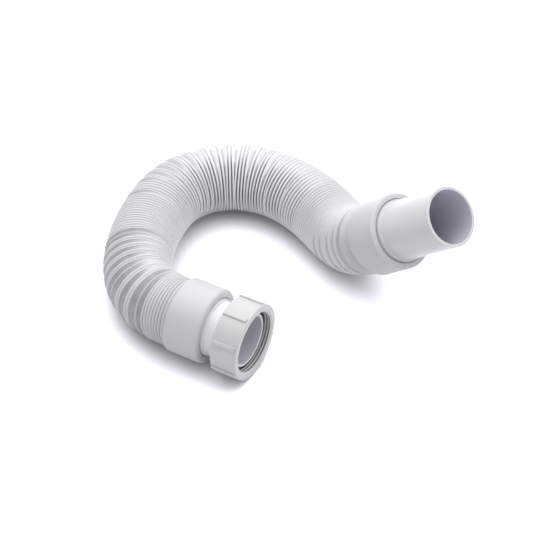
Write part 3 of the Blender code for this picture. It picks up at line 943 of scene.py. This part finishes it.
def make_nut(sizes):
    """Ribbed barrel with a turned-in lip, a lead-in and a right-handed internal thread.

    Rib: height times a smooth step of how far the point lies inside the rib's half width, and of
    how far it lies from the rib's ends. Thread: the bore is deepened by depth times a trapezoid
    wave of x / pitch - angle / 360 degrees, which fades out at both ends. The inside attribute is
    painted shade: the share of the thread's depth, and it is 0.5 halfway up the walls of the ribs.
    """
    nut_r = sizes.nut_radius / MM
    back = -NUT["length"]
    lip = back + NUT["lip"]
    outline = filled(rounded([
        (0.0, NUT["mouth"], 0.3),
        (-NUT["mouth_depth"], NUT["thread"], 0.25),
        (lip, NUT["thread"], 0.2),
        (lip, TAIL["neck"] + FIT_GAP, 0.3),
        (back, TAIL["neck"] + FIT_GAP, 0.4),
        (back, nut_r, NUT["edge"]),
        (0.0, nut_r, NUT["mouth_edge"]),
    ], steps=5), NUT["spacing"])
    step = math.tau / NUT["ribs"]
    barrel_from = nut_r - 0.35
    bore_to = NUT["thread"] + 0.6

    def change(x, r, a):
        offset = (a - math.radians(NUT["rib_turn"]) + step / 2) % step - step / 2
        inside = NUT["rib_width"] / 2 - np.abs(offset) * nut_r
        width = ramp(inside / NUT["rib_edge"], -0.1, 1.0)
        ends = (ramp(x, back + NUT["rib_back"], NUT["rib_back_slope"])
                * ramp(-x, NUT["rib_short"], NUT["rib_front_slope"]))
        rib = NUT["rib_height"] * width * ends * (r > barrel_from)
        wave = (x / THREAD["pitch"] - a / math.tau) % 1.0
        groove = np.clip(THREAD["top"] - np.abs(wave - 0.5) * THREAD["slope"], 0.0, 1.0)
        fade = (ramp(x, lip + THREAD["start"], THREAD["fade_in"])
                * ramp(-x, NUT["mouth_depth"], THREAD["fade_out"]))
        bore = (r < bore_to) & (x > lip + 0.2)
        return rib + THREAD["depth"] * groove * fade * bore

    points = turned(outline, nut_angles(), change)
    added = np.hypot(points[..., 1], points[..., 2]) - outline[:, 1:]
    # Painted shade: darker down the thread's grooves and halfway up the ribs' walls
    deep = added * (outline[:, 1:] < bore_to) / THREAD["depth"]
    raised = added * (outline[:, 1:] > barrel_from) / NUT["rib_height"]
    inside = np.clip(deep + 2.0 * raised * (1 - raised), 0.0, 1.0)
    mesh = ring_grid(at_union(points)[::-1], "ribbed_union_nut", {"inside": inside[::-1]})
    finish, _ = moulded_plastic(
        "nut_plastic", sizes.nut_colour, sizes.union_roughness, 0.00001, GROOVE_SHADE_COLOUR)
    piece = show(mesh, finish.material, "nut")
    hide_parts("union_nut")


# Outlet

def outlet_place(line):
    """Matrix that takes the spigot's own axis X, from the cuff's mouth, to its place."""
    along = Vector(line.end)
    level = Vector((0.0, 0.0, 1.0)).cross(along).normalized()
    upward = along.cross(level)
    turn = Matrix((along, level, upward)).transposed().to_4x4()
    mouth = line.points(np.array([line.length + CUFF["length"]]))[0]
    return Matrix.Translation(Vector(mouth)) @ turn


def make_spigot(sizes, line):
    """Plain pipe end: a tube turned from a profile with a rounded rim and a collar at the cuff."""
    radius = sizes.spigot_radius / MM
    bore = radius - SPIGOT["wall"]
    collar_back = -CUFF["recess"] + FIT_GAP
    collar_front = collar_back + SPIGOT["collar_length"]
    shown = SPIGOT["shown"]
    profile = filled(rounded([
        (shown, bore, 0.4),
        (-SEAT_DEPTH, bore, 0.3),
        (-SEAT_DEPTH, radius, 0.3),
        (collar_back, radius, 0.1),
        (collar_back, SPIGOT["collar"], 0.15),
        (collar_front, SPIGOT["collar"], 0.3),
        (collar_front, radius, 0.1),
        (shown, radius, 0.5),
    ], steps=6), SPIGOT["spacing"])[::-1]
    angles = even_angles(SPIGOT["corners"])
    points = placed(turned(profile, angles), outlet_place(line))
    # Painted shade: the bore takes the lilac grey of shade
    mesh = ring_grid(points, "plain_spigot", {"inside": bore_share(profile, angles)})
    finish, _ = moulded_plastic(
        "spigot_plastic", sizes.spigot_colour, sizes.spigot_roughness, 0.00001, BORE_SHADE_COLOUR)
    piece = show(mesh, finish.material, "hose_body")
    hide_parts("outlet_spigot")
    return piece


# Stage

def floor_paper(colour):
    """Matt paper, which the camera, reflections and clear pieces see brighter than it is.

    The brighter colour gives way to the paper's own where the floor is hidden from most of the
    sky by something within CONTACT_REACH.
    """
    finish = Finish("floor_paper")
    finish.set(Base_Color=rgb(colour), Roughness=0.9, Specular_IOR_Level=0.0)
    camera_ray, glossy_ray, passing_ray = (
        finish.node("ShaderNodeLightPath", output=ray)
        for ray in ("Is Camera Ray", "Is Glossy Ray", "Is Transmission Ray"))
    contact = finish.node(
        "ShaderNodeAmbientOcclusion", {"samples": 16}, {"Distance": CONTACT_REACH}, "AO")
    seen = (camera_ray + glossy_ray + passing_ray).clamped() * contact.above(0.0, CONTACT_FULL)
    paper = Value(finish.tree, finish.shader.outputs[0])
    bright = finish.node("ShaderNodeBsdfDiffuse", None, {"Color": SEEN_PAPER})
    mix = finish.node("ShaderNodeMixShader", None, {0: seen, 1: paper, 2: bright})
    finish.join(finish.tree.nodes["Material Output"].inputs[0], mix)
    return finish.material


def make_stage(sizes):
    """White floor that keeps its shadows, two soft lamps, the world's light and the camera."""
    scene = bpy.context.scene
    corners = [(-1, -1, 0), (1, -1, 0), (1, 1, 0), (-1, 1, 0)]
    mesh = bpy.data.meshes.new("floor")
    mesh.from_pydata([(x * FLOOR_HALF, y * FLOOR_HALF, z) for x, y, z in corners],
                     [], [(0, 1, 2, 3)])
    mesh.materials.append(floor_paper(sizes.floor_colour))
    floor = bpy.data.objects.new("floor", mesh)
    scene.collection.objects.link(floor)

    world = bpy.data.worlds.new("studio")
    scene.world = world
    world.use_nodes = True
    background = world.node_tree.nodes["Background"]
    background.inputs["Color"].default_value = WORLD_COLOUR
    background.inputs["Strength"].default_value = WORLD_STRENGTH

    for name, share, width, place in SOFTBOXES:
        lamp_data = bpy.data.lights.new(name, "AREA")
        lamp_data.size = width
        lamp_data.energy = sizes.lamp_power * share
        lamp = bpy.data.objects.new(name, lamp_data)
        scene.collection.objects.link(lamp)
        lamp.location = place
        lamp.rotation_euler = (-lamp.location).to_track_quat("-Z", "Y").to_euler()

    data = bpy.data.cameras.new("camera")
    data.lens = CAMERA_LENS
    data.sensor_width = SENSOR_WIDTH
    data.clip_start = NEAREST_SEEN * MM
    camera = bpy.data.objects.new("camera", data)
    scene.collection.objects.link(camera)
    camera.location = Vector(CAMERA_AT) * MM
    aim = Vector(CAMERA_AIM) - Vector(CAMERA_AT)
    camera.rotation_euler = aim.to_track_quat("-Z", "Y").to_euler()
    scene.camera = camera
    scene.view_settings.view_transform = "Standard"


# Operators and panel

class DRAIN_HOSE_OT_stage(bpy.types.Operator):
    """Make the floor, the light and the camera"""

    bl_idname = "drain_hose.stage"
    bl_label = "Stage"

    def execute(self, context):
        make_stage(context.scene.hose_stage)
        return {"FINISHED"}


class DRAIN_HOSE_OT_bellows(bpy.types.Operator):
    """Make the bellows hose with its two cuffs"""

    bl_idname = "drain_hose.bellows"
    bl_label = "Bellows hose"

    def execute(self, context):
        make_hose(context.scene.hose_body)
        return {"FINISHED"}


class DRAIN_HOSE_OT_spigot(bpy.types.Operator):
    """Make the spigot welded into the outlet cuff"""

    bl_idname = "drain_hose.spigot"
    bl_label = "Plain spigot"

    def execute(self, context):
        crest_radius = context.scene.hose_body.crest_radius
        line = HoseLine(crest_radius / MM)
        spigot = make_spigot(context.scene.hose_outlet, line)
        state_cord(line)
        return {"FINISHED"}


class DRAIN_HOSE_OT_tailpiece(bpy.types.Operator):
    """Make the flanged tailpiece welded into the union's cuff"""

    bl_idname = "drain_hose.tailpiece"
    bl_label = "Tailpiece"

    def execute(self, context):
        make_tailpiece(context.scene.hose_union)
        return {"FINISHED"}


class DRAIN_HOSE_OT_seal(bpy.types.Operator):
    """Make the rubber seal round the tailpiece's nose"""

    bl_idname = "drain_hose.seal"
    bl_label = "Rubber seal"

    def execute(self, context):
        make_seal()
        return {"FINISHED"}


class DRAIN_HOSE_OT_nut(bpy.types.Operator):
    """Make the ribbed union nut"""

    bl_idname = "drain_hose.nut"
    bl_label = "Union nut"

    def execute(self, context):
        make_nut(context.scene.hose_union)
        return {"FINISHED"}


# Each group of settings with the operators that read it, in the panel's order
PANEL_ROWS = (
    ("hose_stage", ("drain_hose.stage",)),
    ("hose_body", ("drain_hose.bellows",)),
    ("hose_outlet", ("drain_hose.spigot",)),
    ("hose_union", ("drain_hose.tailpiece", "drain_hose.seal", "drain_hose.nut")),
)
SETTINGS = {
    "hose_body": HoseSettings,
    "hose_union": UnionSettings,
    "hose_outlet": OutletSettings,
    "hose_stage": StageSettings,
}


class VIEW3D_PT_drain_hose(bpy.types.Panel):
    """Sidebar panel that lists the sizes and the steps"""

    bl_idname = "VIEW3D_PT_drain_hose"
    bl_label = "Drain hose"
    bl_space_type = "VIEW_3D"
    bl_region_type = "UI"
    bl_category = "Drain hose"

    def draw(self, context):
        for name, operators in PANEL_ROWS:
            box = self.layout.box()
            settings = getattr(context.scene, name)
            for key in SETTINGS[name].__annotations__:
                box.prop(settings, key)
            for operator in operators:
                box.operator(operator)


CLASSES = (
    DRAIN_HOSE_OT_stage, DRAIN_HOSE_OT_bellows, DRAIN_HOSE_OT_spigot, DRAIN_HOSE_OT_tailpiece,
    DRAIN_HOSE_OT_seal, DRAIN_HOSE_OT_nut, VIEW3D_PT_drain_hose)


def register():
    for name, group in SETTINGS.items():
        bpy.utils.register_class(group)
        setattr(bpy.types.Scene, name, PointerProperty(type=group))
    for item in CLASSES:
        bpy.utils.register_class(item)


def unregister():
    for item in reversed(CLASSES):
        bpy.utils.unregister_class(item)
    for name, group in SETTINGS.items():
        delattr(bpy.types.Scene, name)
        bpy.utils.unregister_class(group)


def main():
    register()
    bpy.ops.drain_hose.stage()
    bpy.ops.drain_hose.bellows()
    bpy.ops.drain_hose.spigot()
    bpy.ops.drain_hose.tailpiece()
    bpy.ops.drain_hose.seal()
    bpy.ops.drain_hose.nut()


if __name__ == "__main__":
    main()
